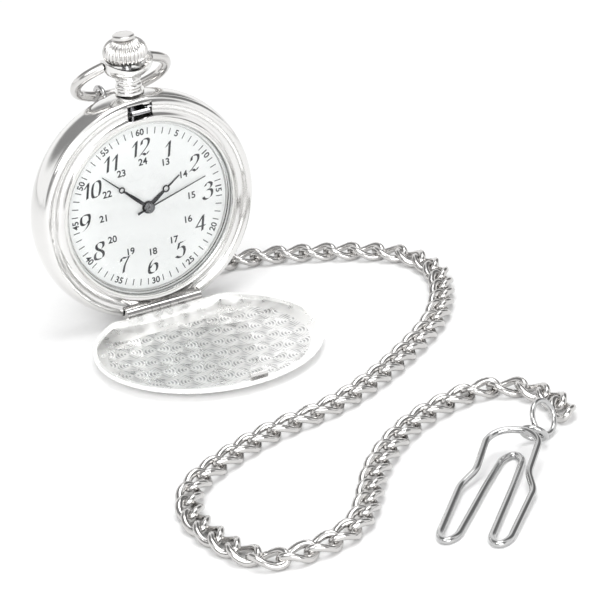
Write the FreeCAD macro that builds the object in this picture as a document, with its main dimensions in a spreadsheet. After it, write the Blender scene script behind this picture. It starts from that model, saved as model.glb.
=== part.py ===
import FreeCAD, Part
import math
import os
from types import SimpleNamespace

import Sketcher
from FreeCAD import Placement, Rotation, Vector

# A hunter-cased quartz pocket watch standing on its open cover, with its curb chain and belt clip.
#
# Millimetres, +Z up. X runs from 9 o'clock to 3 o'clock, and -Y is the way the dial looks.
# The watch itself is drawn face up, as on a watchmaker's bench: its own x points to 3 o'clock,
# its y to 12 o'clock and its z out of the dial, with z = 0 in the plane of the cover's hinge.
# Each piece is then stood upright, with the rim of the case and the cover on the ground.

doc = FreeCAD.newDocument("pocket_watch")


# ------------------------------------------------------------------ driving dimensions

DIMENSIONS = [
    ("case_radius", 23.5), ("case_front", 1.9), ("case_rear", 8.1), ("case_bore", 21.3),
    ("case_end_radius", 22.6), ("case_wall_arc", 6.64), ("hinge_chord", 20.6), ("axis_depth", 4.9),
    ("bezel_rim_top", 21.1), ("bezel_rim_radius", 23.0), ("glass_radius", 18.0),
    ("glass_seat", 18.5), ("bezel_mouth", 17.3), ("skirt_inner", 18.75), ("skirt_outer", 21.15),
    ("skirt_depth", 3.0), ("slot_half_width", 2.65), ("slot_inner", 18.9), ("slot_outer", 22.1),
    ("dial_radius", 18.3), ("dial_face", 2.1), ("dial_thickness", 0.4),
    ("back_face", 9.6), ("back_flat_radius", 14.0), ("back_flange_radius", 22.4),
    ("barrel_radius", 1.25), ("hinge_half_length", 8.2), ("knuckle_outer", 3.0),
    ("knuckle_inner", 1.15), ("knuckle_gap", 0.08), ("pin_radius", 0.4), ("notch_half_width", 8.4),
    ("cover_radius", 22.5), ("cover_wall", 0.7), ("cover_flat_radius", 16.5), ("cover_lift", 0.1),
    ("cover_chord", 19.2), ("bow_half_width", 9.7), ("bow_half_height", 6.4), ("bow_wire", 1.05),
    ("bow_centre", 5.25), ("bow_side_arc", 4.6), ("bow_lean", 48.3), ("bow_height", 53.1),
    ("head_radius", 5.15), ("crown_radius", 4.25), ("crown_base", 29.6), ("stem_radius", 0.6),
    ("plate_radius", 13.4), ("spring_inner", 20.1), ("spring_thickness", 0.4),
    ("chain_tube", 2.1), ("ring_wire", 0.5), ("clip_wire", 0.65),
]

sheet = doc.addObject("Spreadsheet::Sheet", "Dims")
for row, (alias, number) in enumerate(DIMENSIONS, start=1):
    sheet.set(f"A{row}", alias)
    sheet.set(f"B{row}", str(number))
    sheet.setAlias(f"B{row}", alias)
doc.recompute()


class Length:
    """A size that carries its value and the spreadsheet expression that drives it."""

    def __init__(self, value, text):
        self.value = value
        self.text = text

    def __add__(self, other):
        other = as_length(other)
        return Length(self.value + other.value, f"({self.text} + {other.text})")

    def __sub__(self, other):
        other = as_length(other)
        return Length(self.value - other.value, f"({self.text} - {other.text})")

    def __mul__(self, factor):
        return Length(self.value * factor, f"({self.text} * {factor})")

    def __neg__(self):
        return Length(-self.value, f"(-{self.text})")


def as_length(size):
    return size if isinstance(size, Length) else Length(float(size), f"({size})")


d = SimpleNamespace(**{name: Length(sheet.get(name), f"Dims.{name}") for name, _ in DIMENSIONS})

# The cover and the case's rim stand on the ground together, so the cover's height follows.
cover_height = d.case_radius - d.hinge_chord
# The hinge lies behind the middle of the whole watch's footprint, so that the origin is in its middle.
hinge_y = Length(14.67, "14.67")


# ------------------------------------------------------------------ how pieces are drawn

def drive(feature, prop, size):
    """Set a property and tie it to the spreadsheet."""
    size = as_length(size)
    setattr(feature, prop, size.value)
    if "Dims." in size.text:
        feature.setExpression(prop, size.text)


def new_body(label):
    body = doc.addObject("PartDesign::Body", label)
    body.Label = label
    return body


def new_sketch(body, plane, level=0.0):
    """A sketch on one of the body's own origin planes, raised to a level."""
    sketch = body.newObject("Sketcher::SketchObject", "outline")
    support = [f for f in body.Origin.OriginFeatures if f.Role == plane][0]
    sketch.AttachmentSupport = [(support, "")]
    sketch.MapMode = "FlatFace"
    level = as_length(level)
    sketch.AttachmentOffset = Placement(Vector(0, 0, level.value), Rotation())
    if "Dims." in level.text:
        sketch.setExpression("AttachmentOffset.Base.z", level.text)
    return sketch


def fix_point(sketch, geometry, end, point):
    """Fix one point of a sketch, tied to the spreadsheet where it depends on it."""
    for kind, axis, size in (("DistanceX", -2, point[0]), ("DistanceY", -1, point[1])):
        size = as_length(size)
        if abs(size.value) < 1e-9:
            sketch.addConstraint(Sketcher.Constraint("PointOnObject", geometry, end, axis))
            continue
        index = sketch.addConstraint(
            Sketcher.Constraint(kind, -1, 1, geometry, end, size.value))
        if "Dims." in size.text:
            sketch.setExpression(f"Constraints[{index}]", size.text)


def draw_loop(sketch, corners, arcs=None):
    """A closed outline through the corners. arcs gives the radius of the edge that leaves a
    corner: positive where it bulges to the right of its direction, negative to the left."""
    arcs = arcs or {}
    points = [Vector(as_length(x).value, as_length(y).value, 0) for x, y in corners]
    first = sketch.GeometryCount
    count = len(points)
    for index, start in enumerate(points):
        end = points[(index + 1) % count]
        if index in arcs:
            radius = as_length(arcs[index])
            chord = end - start
            half = chord.Length / 2
            rise = abs(radius.value) - math.sqrt(radius.value ** 2 - half ** 2)
            side = Vector(chord.y, -chord.x, 0).normalize() * math.copysign(rise, radius.value)
            sketch.addGeometry(Part.Arc(start, (start + end) * 0.5 + side, end), False)
        else:
            sketch.addGeometry(Part.LineSegment(start, end), False)

    def end_at(geometry, point):
        """Which end of a sketched edge lies at a point."""
        return 1 if (sketch.getPoint(geometry, 1) - point).Length < 1e-6 else 2

    ends = [end_at(first + index, points[index]) for index in range(count)]
    for index in range(count):
        fix_point(sketch, first + index, ends[index], corners[index])
    for index in range(count):
        following = (index + 1) % count
        sketch.addConstraint(Sketcher.Constraint(
            "Coincident", first + index, 3 - ends[index], first + following, ends[following]))
    for index, radius in arcs.items():
        radius = as_length(radius)
        sketch.addConstraint(Sketcher.Constraint("Radius", first + index, abs(radius.value)))


def draw_circle(sketch, x, y, radius):
    radius = as_length(radius)
    centre = Vector(as_length(x).value, as_length(y).value, 0)
    index = sketch.addGeometry(Part.Circle(centre, Vector(0, 0, 1), radius.value), False)
    fix_point(sketch, index, 3, (x, y))
    number = sketch.addConstraint(Sketcher.Constraint("Radius", index, radius.value))
    if "Dims." in radius.text:
        sketch.setExpression(f"Constraints[{number}]", radius.text)


def revolve(body, corners, arcs=None, plane="XZ_Plane"):
    sketch = new_sketch(body, plane)
    draw_loop(sketch, corners, arcs)
    turn = body.newObject("PartDesign::Revolution", "turned")
    turn.Profile = sketch
    turn.ReferenceAxis = (sketch, ["V_Axis"])
    turn.Angle = 360
    sketch.Visibility = False
    return turn


def pad(body, draw, level, height, plane="XY_Plane"):
    """Extrude what draw(sketch) draws, from a level along the plane's normal."""
    sketch = new_sketch(body, plane, level)
    draw(sketch)
    feature = body.newObject("PartDesign::Pad", "raised")
    feature.Profile = sketch
    drive(feature, "Length", height)
    return feature


def pocket(body, draw, level, depth, plane="XY_Plane"):
    """Cut what draw(sketch) draws, from a level against the plane's normal."""
    sketch = new_sketch(body, plane, level)
    draw(sketch)
    doc.recompute()
    before = body.Shape.Volume
    feature = body.newObject("PartDesign::Pocket", "cut")
    feature.Profile = sketch
    drive(feature, "Length", depth)
    doc.recompute()
    if body.Shape.Volume > before - 1e-6:
        raise RuntimeError(f"{body.Label}: a pocket cuts nothing")
    return feature


def box_outline(x0, x1, y0, y1):
    return lambda sketch: draw_loop(sketch, [(x0, y0), (x1, y0), (x1, y1), (x0, y1)])


def circles(*rows):
    def draw(sketch):
        for x, y, radius in rows:
            draw_circle(sketch, x, y, radius)
    return draw


def ring_outline(outer, inner, x=0.0, y=0.0):
    return circles((x, y, outer), (x, y, inner))


def put(feature, x, y, z, turned):
    """Place a piece by a point and a turn, both in the frame that it stands in."""
    base = [as_length(size) for size in (x, y, z)]
    feature.Placement = Placement(Vector(*[size.value for size in base]), turned)
    for name, size in zip("xyz", base):
        if "Dims." in size.text:
            feature.setExpression(f"Placement.Base.{name}", size.text)
    pieces.append(feature)
    return feature


def stand(feature, x=0.0, y=0.0, z=0.0):
    """Stand a piece of the watch upright, from its place on the bench."""
    z = as_length(z)
    return put(feature, as_length(x), hinge_y - z, d.case_radius + y, Rotation(Vector(1, 0, 0), 90))


def lay_open(feature):
    """A piece of the cover: drawn closed, and opened by a right angle about the hinge."""
    return put(feature, 0.0, hinge_y - d.hinge_chord, cover_height, Rotation(Vector(1, 0, 0), 180))


def solid_piece(label, shape):
    """A piece whose form neither a sketch nor a primitive gives."""
    feature = doc.addObject("Part::Feature", label)
    feature.Label = label
    feature.Shape = shape
    return feature


pieces = []


# ------------------------------------------------------------------ case

def make_case_middle():
    """The band of the case: a convex ring, bored for the pendant and notched for the hinge."""
    body = new_body("case_middle")
    revolve(body, [(d.case_bore, -d.case_rear), (d.case_end_radius, -d.case_rear),
                   (d.case_end_radius + 0.25, -d.case_front), (d.case_bore, -d.case_front)],
            arcs={1: d.case_wall_arc})
    pocket(body, circles((0.0, -d.axis_depth, 2.02)), -20.0, 6.0, plane="XZ_Plane")
    return stand(body)


def make_bezel():
    """The front ring that holds the glass: a cove between the glass and a rounded rim."""
    body = new_body("bezel")
    revolve(body, [
        (d.bezel_mouth, -2.05), (d.skirt_inner, -2.05), (d.skirt_inner, -d.skirt_depth),
        (d.skirt_outer, -d.skirt_depth), (d.skirt_outer, -d.case_front + 0.02),
        (d.bezel_rim_radius, -d.case_front + 0.02), (d.bezel_rim_top, -0.7),
        (d.glass_seat + 0.4, -0.3), (d.glass_seat, -0.4), (d.glass_seat, -1.45),
        (d.bezel_mouth, -1.45)], arcs={5: 1.45, 6: -1.7})
    pocket(body, box_outline(-d.slot_half_width, d.slot_half_width, d.slot_inner, d.slot_outer),
           1.0, 6.0)
    pocket(body, box_outline(-d.notch_half_width, d.notch_half_width, -25.0, -19.1), 1.0, 2.6)
    return stand(body)


def make_glass():
    """The mineral glass: thick, bevelled round its edge and domed."""
    body = new_body("crystal")
    revolve(body, [(0.0, -0.3), (4.0, -0.3), (17.1, -1.35), (d.glass_radius, -1.35),
                   (d.glass_radius, -0.2), (d.glass_radius - 0.9, 0.35), (4.0, 1.12), (0.0, 1.12)],
            arcs={1: -110.0, 5: 140.0})
    stand(body)
    gasket = new_body("crystal_gasket")
    pad(gasket, ring_outline(d.glass_seat - 0.02, d.glass_radius + 0.02), -1.43, 0.9)
    return stand(gasket)


def make_caseback():
    """The snap-on back: a shallow dome with a flat middle and a skirt that presses in."""
    body = new_body("caseback")
    revolve(body, [(0.0, -8.75), (19.7, -8.3), (19.7, -7.2), (20.6, -7.2), (20.6, -8.12),
                   (d.back_flange_radius, -8.12), (d.back_flange_radius, -8.5),
                   (d.back_flat_radius, -d.back_face), (0.0, -d.back_face)], arcs={6: 40.0})
    stand(body)
    gasket = new_body("caseback_gasket")
    pad(gasket, ring_outline(d.case_bore - 0.02, 20.62), -8.08, 0.7)
    return stand(gasket)


def make_movement_ring():
    """The plastic ring that centres the movement, with feet that reach the case."""
    body = new_body("movement_ring")
    pad(body, ring_outline(d.skirt_inner, d.plate_radius + 0.1), -7.0, 3.9)
    for side in (-1, 1):
        pad(body, box_outline(18.2 * side, 21.2 * side, -1.5, 1.5), -7.0, 3.9)
    pocket(body, circles((0.0, -d.axis_depth, 1.3)), -10.0, 12.0, plane="XZ_Plane")
    return stand(body)


def make_dial():
    """The enamelled dial plate, with a hole for the three arbors."""
    body = new_body("dial")
    pad(body, ring_outline(d.dial_radius, 1.0), -d.dial_face - d.dial_thickness, d.dial_thickness)
    return stand(body)


def make_pendant():
    """The stepped neck and its cupped head, which holds the bow and lets the crown sink in."""
    body = new_body("pendant")
    bore = 0.95
    revolve(body, [
        (bore, 21.35), (2.0, 21.35), (2.0, 23.48), (2.95, 23.48), (2.95, 23.95), (2.4, 24.05),
        (2.4, 24.4), (2.4, 25.4), (2.3, 25.5), (2.3, 25.75), (2.3, 26.75), (2.45, 26.9),
        (d.head_radius, 29.2), (d.head_radius, 30.65), (4.65, 30.65), (3.4, 28.5), (bore, 28.5),
        (bore, 25.6), (1.35, 25.6), (1.35, 25.0), (bore, 25.0)],
        arcs={6: 0.62, 9: 0.62, 11: 3.4}, plane="XY_Plane")
    # the rim of the cup dips front and back, and rises to the two ends of the bow
    pocket(body, circles((0.0, 38.0, 8.9)), 10.0, 20.0)
    pocket(body, circles((29.6, 0.0, 0.5)), 6.0, 12.0, plane="YZ_Plane")
    stand(body, z=-d.axis_depth)
    seal = new_body("stem_seal")
    revolve(seal, [(0.92, 25.05), (1.32, 25.05), (1.32, 25.55), (0.92, 25.55)], plane="XY_Plane")
    return stand(seal, z=-d.axis_depth)


# ------------------------------------------------------------------ crown and latch

def make_crown():
    """The fluted onion crown with its cap, on a stem that reaches into the movement."""
    crown = new_body("crown")
    revolve(crown, [(0.62, d.crown_base), (2.8, d.crown_base), (3.9, d.crown_base + 0.95),
                    (d.crown_radius, d.crown_base + 2.3), (2.5, d.crown_base + 4.7),
                    (1.0, d.crown_base + 4.7), (1.0, d.crown_base + 4.0), (0.62, d.crown_base + 4.0)],
            arcs={2: 3.0, 3: 3.0}, plane="XY_Plane")
    pocket(crown, circles((d.crown_radius + 0.08, 0.0, 0.28)), -28.0, 10.0, plane="XZ_Plane")
    flute = crown.Tip
    ring = crown.newObject("PartDesign::PolarPattern", "flutes")
    ring.Originals = [flute]
    ring.Axis = (flute.Profile[0], ["N_Axis"])
    ring.Angle = 360
    ring.Occurrences = 36
    crown.Tip = ring
    stand(crown, z=-d.axis_depth)

    cap = new_body("crown_cap")
    revolve(cap, [(0.0, 33.7), (0.95, 33.7), (0.95, 34.35), (1.9, 34.35), (2.2, 34.6), (2.2, 35.15),
                  (1.9, 35.35), (0.0, 35.45)], plane="XY_Plane")
    stand(cap, z=-d.axis_depth)

    stem = new_body("stem")
    revolve(stem, [(0.0, 7.6), (d.stem_radius, 7.6), (d.stem_radius, 33.5), (0.0, 33.5)],
            plane="XY_Plane")
    stand(stem, z=-d.axis_depth)

    clutch = new_body("clutch_wheel")
    revolve(clutch, [(0.62, 8.0), (1.1, 8.0), (1.1, 9.2), (0.62, 9.2)], plane="XY_Plane")
    stand(clutch, z=-d.axis_depth)

    sleeve = new_body("push_sleeve")
    revolve(sleeve, [(0.65, 20.65), (0.9, 20.65), (0.9, 29.38), (1.8, 29.38), (1.8, 29.55),
                     (0.65, 29.55)], plane="XY_Plane")
    stand(sleeve, z=-d.axis_depth)

    collar = new_body("stem_collar")
    revolve(collar, [(0.65, 16.4), (1.15, 16.4), (1.15, 16.9), (0.65, 16.9)], plane="XY_Plane")
    return stand(collar, z=-d.axis_depth)


def make_latch():
    """The cover's catch: a lever along the case wall, whose hook stands up through the bezel."""
    inner = d.spring_inner
    outer = d.spring_inner + d.spring_thickness
    pivot_angle = math.radians(150)
    pivot_reach = 20.3
    pivot_x = pivot_reach * math.cos(pivot_angle)
    pivot_y = pivot_reach * math.sin(pivot_angle)

    def arc_strip(sketch):
        points = []
        for radius, angles in ((inner, (78, 90, 102)), (outer, (102, 90, 78))):
            for angle in angles:
                points.append((radius.value * math.cos(math.radians(angle)),
                               radius.value * math.sin(math.radians(angle))))
        near = [(pivot_x + 0.45, pivot_y + 0.75), (pivot_x - 0.25, pivot_y + 0.75)]
        start = [points[0], points[1], points[2], near[0], near[1], points[3], points[4], points[5]]
        draw_loop(sketch, start, arcs={2: 19.4, 4: -20.6})

    lever = new_body("latch_lever")
    pad(lever, arc_strip, -6.3, 2.9)
    pad(lever, circles((pivot_x, pivot_y, 0.95)), -6.3, 2.9)
    pocket(lever, circles((pivot_x, pivot_y, 0.5)), -3.3, 3.2)
    pocket(lever, lambda s: draw_loop(s, [(-1.4, -d.axis_depth - 0.75), (0.8, -d.axis_depth - 0.75),
                                          (0.8, -d.axis_depth + 0.75), (-1.4, -d.axis_depth + 0.75)]),
           -18.0, 6.0, plane="XZ_Plane")
    pad(lever, box_outline(-1.9, 1.9, inner, outer), -3.5, 3.1)
    pad(lever, lambda s: draw_loop(s, [(inner, -0.45), (outer + 0.4, -0.45), (outer + 0.1, -0.05),
                                       (inner + 0.1, 0.15)], arcs={2: 0.9}),
        -1.9, 3.8, plane="YZ_Plane")
    stand(lever)

    pin = new_body("latch_pin")
    pad(pin, circles((pivot_x, pivot_y, 0.44)), -7.1, 4.08)
    stand(pin)

    # a leaf of spring steel behind the lever keeps the hook pressed outwards
    leaf = new_body("latch_return_spring")
    pad(leaf, lambda s: draw_loop(s, [(-11.88, 14.70), (-6.46, 17.76), (-6.53, 17.95),
                                      (-12.0, 14.86)], arcs={0: -18.9, 2: 19.1}), -6.2, 2.4)
    stand(leaf)

    lift = new_body("cover_lift_spring")
    pad(lift, lambda s: draw_loop(s, [(-13.0, -15.4), (13.0, -15.4), (13.3, -15.67),
                                      (-13.3, -15.67)], arcs={0: 20.15, 2: -20.55}), -6.2, 2.6)
    return stand(lift)


# ------------------------------------------------------------------ cover and hinge

def make_cover():
    """The hinged front cover: a thin dish, closed along the hinge by a straight wall."""
    body = new_body("cover")
    rim = d.cover_radius
    revolve(body, [(rim - d.cover_wall, d.cover_lift), (rim, d.cover_lift), (rim, 1.0),
                   (d.cover_flat_radius, cover_height), (0.0, cover_height),
                   (0.0, cover_height - d.cover_wall), (d.cover_flat_radius - 0.2,
                                                        cover_height - d.cover_wall),
                   (rim - d.cover_wall, 0.9)], arcs={2: 12.0, 6: -11.0})
    pocket(body, box_outline(-24.0, 24.0, -24.0, -d.cover_chord), 5.0, 6.0)
    # the straight wall along the hinge, its top buried in the cover's dome
    half_wall = [(11.3, 0.95), (10.0, 1.33), (8.0, 1.7), (5.0, 2.05), (0.0, 2.27)]
    top = half_wall + [(-x, z) for x, z in reversed(half_wall[:-1])]
    pad(body, lambda s: draw_loop(s, [(-11.3, d.cover_lift), (11.3, d.cover_lift)] + top),
        d.cover_chord - d.cover_wall, d.cover_wall, plane="XZ_Plane")
    lay_open(body)

    catch = new_body("cover_catch")
    pad(catch, lambda s: draw_loop(s, [(21.3, -0.9), (21.72, -0.9), (21.72, 0.9), (21.3, 0.9),
                                       (21.3, -0.55), (21.05, -0.62), (21.05, -0.8)]),
        -1.8, 3.6, plane="YZ_Plane")
    return lay_open(catch)


def barrel(body, start, end, bore):
    """One knuckle of the hinge, between two places along the pin."""
    start = as_length(start)
    end = as_length(end)
    pad(body, ring_outline(d.barrel_radius, bore, x=-d.hinge_chord), start, end - start,
        plane="YZ_Plane")


def make_hinge():
    """Three knuckles on the case, two on the cover, and the pin through them all."""
    case_side = [(-d.hinge_half_length, -d.knuckle_outer), (-d.knuckle_inner, d.knuckle_inner),
                 (d.knuckle_outer, d.hinge_half_length)]
    shapes = []
    for number, (start, end) in enumerate(case_side, start=1):
        body = new_body(f"case_knuckle_{number}")
        length = end - start
        pad(body, lambda s: draw_loop(s, [(-d.hinge_chord - 1.0, -1.58), (-d.hinge_chord + 1.0, -1.58),
                                          (-d.hinge_chord + 1.0, 0.0), (-d.hinge_chord - 1.0, 0.0)]),
            start, length, plane="YZ_Plane")
        pad(body, circles((-d.hinge_chord, 0.0, d.barrel_radius)), start, length, plane="YZ_Plane")
        pocket(body, circles((-d.hinge_chord, 0.0, d.pin_radius + 0.02)), end + 1.0, length + 2.0,
               plane="YZ_Plane")
        stand(body)
        shapes.append(body)

    lid_side = [(-d.knuckle_outer + d.knuckle_gap, -d.knuckle_inner - d.knuckle_gap),
                (d.knuckle_inner + d.knuckle_gap, d.knuckle_outer - d.knuckle_gap)]
    for number, (start, end) in enumerate(lid_side, start=1):
        body = new_body(f"cover_knuckle_{number}")
        length = end - start
        pad(body, lambda s: draw_loop(s, [(-d.hinge_chord, 0.2), (-d.cover_chord - 0.02, 0.2),
                                          (-d.cover_chord - 0.02, 1.2), (-d.hinge_chord, 1.2)]),
            start, length, plane="YZ_Plane")
        pad(body, circles((-d.hinge_chord, 0.0, d.barrel_radius)), start, length, plane="YZ_Plane")
        pocket(body, circles((-d.hinge_chord, 0.0, d.pin_radius + 0.05)), end + 1.0, length + 2.0,
               plane="YZ_Plane")
        lay_open(body)

    pin = new_body("hinge_pin")
    pad(pin, circles((-d.hinge_chord, 0.0, d.pin_radius)), -d.hinge_half_length,
        d.hinge_half_length * 2, plane="YZ_Plane")
    return stand(pin)


# ------------------------------------------------------------------ movement

def gear_shape(teeth, module, thickness, level):
    """A toothed wheel of straight-flanked teeth, face up at a level."""
    tip = module * (teeth / 2 + 0.85)
    root = module * (teeth / 2 - 1.15)
    points = []
    step = 2 * math.pi / teeth
    for tooth in range(teeth):
        for share, radius in ((-0.30, root), (-0.12, tip), (0.12, tip), (0.30, root)):
            angle = (tooth + share) * step
            points.append(Vector(radius * math.cos(angle), radius * math.sin(angle), level))
    outline = Part.makePolygon(points + [points[0]])
    return Part.Face(outline).extrude(Vector(0, 0, thickness))


def rod(radius, level, height):
    return Part.makeCylinder(radius, height, Vector(0, 0, level))


def wheel(label, x, y, parts, bore=None, turned=0.0):
    """Wheel, pinion and arbor as one piece, on an axis at x, y of the movement."""
    shape = parts[0].fuse(parts[1:]).removeSplitter()
    if bore:
        shape = shape.cut(rod(bore, -9.0, 12.0))
    shape.rotate(Vector(), Vector(0, 0, 1), turned)
    return stand(solid_piece(label, shape), x=x, y=y)


def polar(reach, degrees):
    return reach * math.cos(math.radians(degrees)), reach * math.sin(math.radians(degrees))


THIRD_AXIS = polar(3.4, 250)
STEP_AXIS = polar(3.5, 330)
ROTOR_AXIS = polar(3.5 + 3.24, 330)
MOTION_AXIS = (0.0, 3.0)
PILLARS = ((-5.6, -3.9), (5.0, 1.6), (1.6, -6.6))


def meshed(turned, teeth, way, driven_teeth):
    """How far a driven wheel is turned for a gap to face its driver's tooth, in degrees."""
    share = (way - turned) * teeth / 360 - 0.5
    return way + 180 + share * 360 / driven_teeth


def make_train():
    """The going train from rotor to seconds, minutes and hours, each wheel at its real count."""
    third_turn = meshed(0.0, 8, 250, 60)
    centre_turn = meshed(third_turn, 8, 70, 64)
    step_turn = meshed(0.0, 60, 330, 10)
    rotor_turn = meshed(step_turn, 60, 330, 12)
    motion_turn = meshed(centre_turn, 12, 90, 36)
    hour_turn = meshed(motion_turn, 10, 270, 40)
    wheel("centre_wheel", 0.0, 0.0,
          [gear_shape(64, 0.0944, 0.2, -4.75), rod(0.72, -4.8, 3.35),
           gear_shape(12, 0.125, 0.45, -3.42)], bore=0.3, turned=centre_turn)
    wheel("seconds_wheel", 0.0, 0.0,
          [gear_shape(60, 0.1, 0.2, -6.15), gear_shape(8, 0.1, 0.5, -5.68), rod(0.25, -6.9, 5.88)])
    wheel("third_wheel", *THIRD_AXIS,
          [gear_shape(60, 0.1, 0.2, -5.55), gear_shape(8, 0.0944, 0.65, -5.0),
           rod(0.25, -6.9, 3.08)], turned=third_turn)
    wheel("step_wheel", *STEP_AXIS,
          [gear_shape(60, 0.09, 0.15, -5.85), gear_shape(10, 0.1, 0.45, -6.25),
           rod(0.25, -6.9, 3.08)], turned=step_turn)
    wheel("rotor", *ROTOR_AXIS,
          [rod(1.1, -5.35, 0.6), gear_shape(12, 0.09, 0.3, -5.93), rod(0.22, -6.9, 3.08)],
          turned=rotor_turn)
    wheel("motion_wheel", *MOTION_AXIS,
          [gear_shape(36, 0.125, 0.2, -3.3), gear_shape(10, 0.12, 0.4, -3.12),
           rod(0.25, -3.6, 0.95)], turned=motion_turn)
    return wheel("hour_wheel", 0.0, 0.0, [gear_shape(40, 0.12, 0.2, -2.93), rod(0.93, -2.93, 1.2)],
                 bore=0.76, turned=hour_turn)


def make_hands():
    """Hour and minute hands with an open ring near the tip, and a plain sweep seconds hand."""
    def tapered(label, length, half_base, half_tip, ring_at, ring_radius, level, thickness,
                bore, boss, shows):
        body = new_body(label)
        pad(body, lambda s: draw_loop(s, [(-half_base, 0.0), (half_base, 0.0), (half_tip, length),
                                          (-half_tip, length)]), level, thickness)
        pad(body, circles((0.0, ring_at, ring_radius)), level, thickness)
        pad(body, circles((0.0, 0.0, boss)), level, thickness)
        pocket(body, circles((0.0, ring_at, ring_radius - 0.25)), level + thickness + 0.1,
               thickness + 0.2)
        pocket(body, circles((0.0, 0.0, bore)), level + thickness + 0.1, thickness + 0.2)
        put(body, 0.0, hinge_y, d.case_radius,
            Rotation(Vector(1, 0, 0), 90).multiply(Rotation(Vector(0, 0, 1), -shows)))

    tapered("hour_hand", 8.9, 0.45, 0.12, 5.1, 0.72, -1.9, 0.16, 0.94, 1.3, 56.1)
    tapered("minute_hand", 12.6, 0.42, 0.10, 7.3, 0.62, -1.62, 0.14, 0.73, 1.05, 313.2)

    seconds = new_body("seconds_hand")
    pad(seconds, lambda s: draw_loop(s, [(-0.16, -2.7), (0.16, -2.7), (0.05, 13.2), (-0.05, 13.2)]),
        -1.3, 0.12)
    pad(seconds, circles((0.0, 0.0, 0.75)), -1.3, 0.3)
    pocket(seconds, circles((0.0, 0.0, 0.26)), -0.8, 0.7)
    put(seconds, 0.0, hinge_y, d.case_radius,
        Rotation(Vector(1, 0, 0), 90).multiply(Rotation(Vector(0, 0, 1), -74.4)))


def make_movement():
    """Plates, motor, cell and electronics of a plain three-hand quartz movement."""
    plate = new_body("main_plate")
    pad(plate, circles((0.0, 0.0, d.plate_radius)), -4.3, 0.8)
    pocket(plate, circles((0.0, 0.0, 0.78), (*THIRD_AXIS, 0.28), (*STEP_AXIS, 0.28),
                          (*ROTOR_AXIS, 0.25)), -3.0, 2.0)
    pocket(plate, circles((0.0, 0.0, 1.2)), -3.4, 0.15)
    pocket(plate, circles((*MOTION_AXIS, 0.28)), -3.3, 0.35)
    pocket(plate, box_outline(-1.35, 1.35, 6.3, 14.0), -3.0, 2.0)
    for x, y in PILLARS:
        pad(plate, circles((x, y, 0.7)), -6.68, 2.5)
    stand(plate)

    bridge = new_body("train_bridge")
    pad(bridge, lambda s: draw_loop(s, [(-6.6, -4.6), (2.4, -7.6), (8.2, -4.6), (6.0, 2.6),
                                        (-3.0, 1.8)]), -7.1, 0.4)
    pocket(bridge, circles((0.0, 0.0, 0.28), (*THIRD_AXIS, 0.28), (*STEP_AXIS, 0.28),
                           (*ROTOR_AXIS, 0.25)), -6.5, 0.45)
    stand(bridge)

    screws = Part.makeCompound([
        Part.makeCylinder(0.75, 0.35, Vector(x, y, -7.48)) for x, y in PILLARS])
    stand(solid_piece("bridge_screws", screws))

    stator = new_body("stator")
    pad(stator, lambda s: draw_loop(s, [(3.9, -5.7), (10.3, -6.6), (10.3, -5.2), (8.2, -5.0),
                                        (7.8, -1.5), (7.4, 4.9), (10.3, 5.2), (10.3, 6.4),
                                        (5.9, 6.1), (6.1, -1.1), (3.9, -1.3)]), -5.4, 0.4)
    pocket(stator, circles((*ROTOR_AXIS, 1.4)), -4.0, 3.0)
    stand(stator)

    core = new_body("coil_core")
    pad(core, box_outline(9.2, 10.2, -6.3, 6.3), -5.95, 0.5)
    stand(core)
    coil = new_body("coil")
    pad(coil, lambda s: draw_circle(s, 9.7, -5.7, 1.2), -4.6, 9.2, plane="XZ_Plane")
    pocket(coil, lambda s: draw_loop(s, [(9.15, -6.0), (10.25, -6.0), (10.25, -5.4), (9.15, -5.4)]),
           5.0, 10.0, plane="XZ_Plane")
    stand(coil)

    cell = new_body("battery_cell")
    revolve(cell, [(0.0, -6.55), (4.75, -6.55), (4.75, -4.9), (4.1, -4.45), (0.0, -4.45)])
    stand(cell, x=-7.0, y=4.2)
    strap = new_body("battery_strap")
    pad(strap, lambda s: draw_loop(s, [(-11.6, 2.6), (-1.6, 7.4), (-1.9, 8.4), (-11.9, 3.8)]),
        -6.85, 0.25)
    stand(strap)

    board = new_body("circuit_board")
    pad(board, lambda s: draw_loop(s, [(-8.2, -9.6), (-4.0, -12.4), (4.0, -12.4), (7.4, -10.2),
                                       (7.4, -8.6), (-8.2, -7.6)]), -5.6, 0.3)
    stand(board)
    chip = new_body("circuit_chip")
    pad(chip, box_outline(2.0, 4.4, -11.2, -8.9), -6.4, 0.78)
    stand(chip)
    can = new_body("quartz_can")
    pad(can, circles((-9.9, -6.65, 0.95)), -0.6, 6.0, plane="YZ_Plane")
    stand(can, x=-5.0)
    lever = new_body("setting_lever")
    pad(lever, lambda s: draw_loop(s, [(1.4, 6.6), (5.4, 8.6), (5.0, 9.8), (1.6, 8.6)]), -5.2, 0.5)
    return stand(lever)


# ------------------------------------------------------------------ bow, chain and clip

def rounded_route(points, radii, closed=False):
    """Straight runs joined by tangent arcs. radii gives one radius for each corner."""
    count = len(points)
    edges = []
    previous = None
    first = None
    corners = range(count) if closed else range(1, count - 1)
    for corner in corners:
        here = points[corner]
        before = (points[corner - 1] - here).normalize()
        after = (points[(corner + 1) % count] - here).normalize()
        half_turn = (math.pi - before.getAngle(after)) / 2
        radius = radii[corner]
        reach = radius * math.tan(half_turn)
        start = here + before * reach
        end = here + after * reach
        centre_way = (before + after).normalize()
        middle = here + centre_way * (radius / math.cos(half_turn) - radius)
        if previous is None:
            first = start
            if not closed:
                edges.append(Part.LineSegment(points[0], start).toShape())
        else:
            edges.append(Part.LineSegment(previous, start).toShape())
        edges.append(Part.Arc(start, middle, end).toShape())
        previous = end
    last = first if closed else points[-1]
    edges.append(Part.LineSegment(previous, last).toShape())
    return Part.Wire(edges)


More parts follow.
